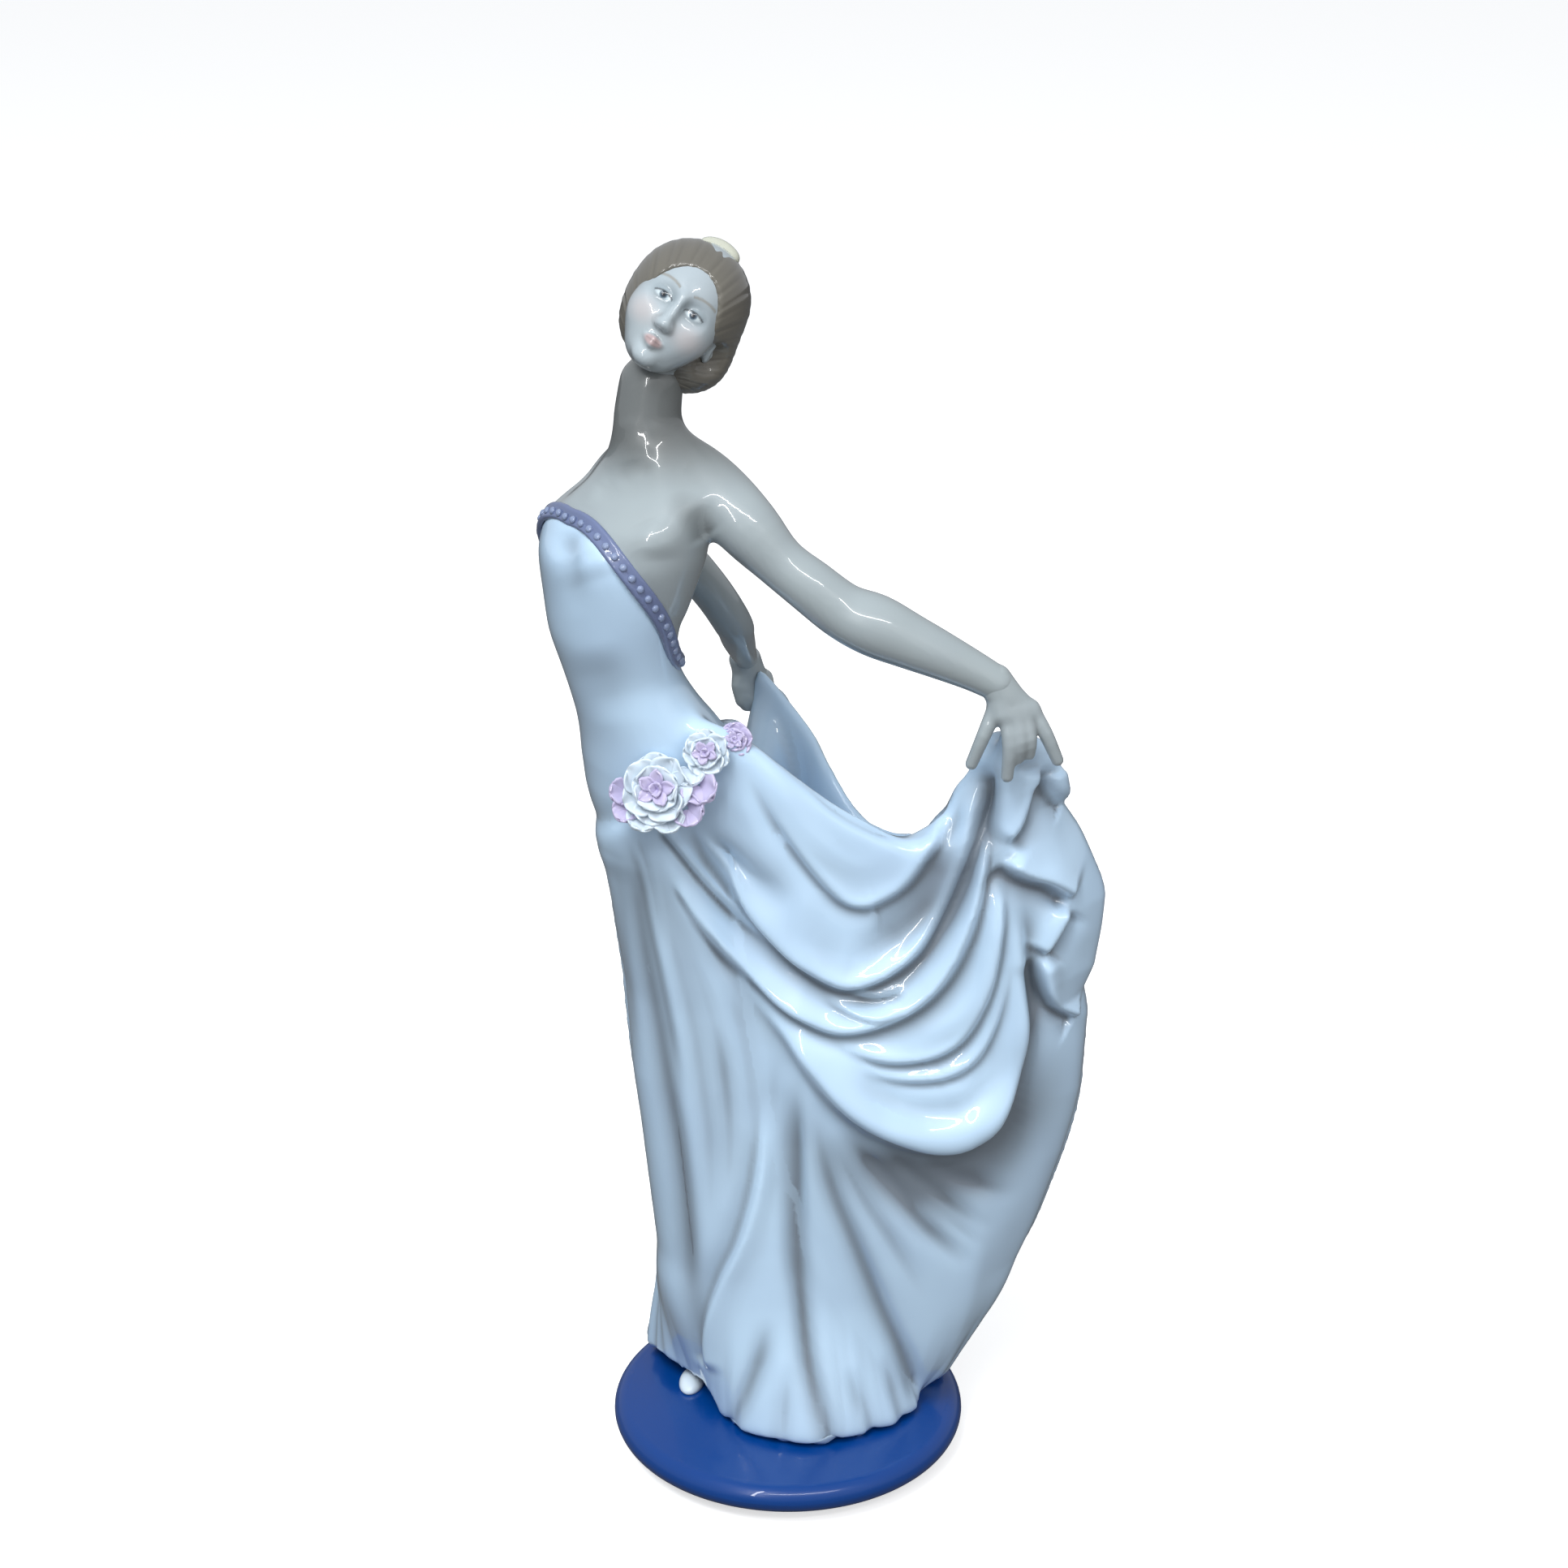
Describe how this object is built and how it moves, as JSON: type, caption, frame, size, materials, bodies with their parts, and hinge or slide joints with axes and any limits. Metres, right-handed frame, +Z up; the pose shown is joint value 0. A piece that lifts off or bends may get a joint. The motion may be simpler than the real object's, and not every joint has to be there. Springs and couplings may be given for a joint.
{
  "type": "porcelain figurine",
  "caption": "Porcelain dancer in a strapless gown holding her skirt spread with both hands, on a round glazed plinth.",
  "frame": {"origin": "on the table under the middle of the round plinth", "axes": "+Z up; the display side faces -Y; the gown is spread towards +X and +Y"},
  "size_m": [0.1329, 0.1216, 0.2986],
  "materials": {
    "blue_glaze": "glossy",
    "gown": "glossy",
    "skin": "glossy",
    "hair": "glossy",
    "cream_glaze": "glossy",
    "lilac_band": "glossy",
    "flower_white": "glossy",
    "flower_lilac": "glossy"
  },
  "bodies": {
    "root": {"plinth": "blue_glaze", "skirt": "gown", "left_drape": "gown", "right_drape": "gown", "back_drape": "gown", "bodice": "gown", "bust": "skin", "head": "skin", "left_arm": "skin", "right_arm": "skin", "left_hand": "skin", "right_hand": "skin", "hair": "hair", "comb": "cream_glaze", "shoe": "cream_glaze", "neckline_band": "lilac_band", "neckline_beads": "cream_glaze", "large_flower_petals": "flower_white", "medium_flower_petals": "flower_white", "small_flower_petals": "flower_lilac", "large_flower_heart": "flower_lilac", "medium_flower_heart": "flower_lilac", "small_flower_heart": "flower_lilac"}
  },
  "joints": []
}
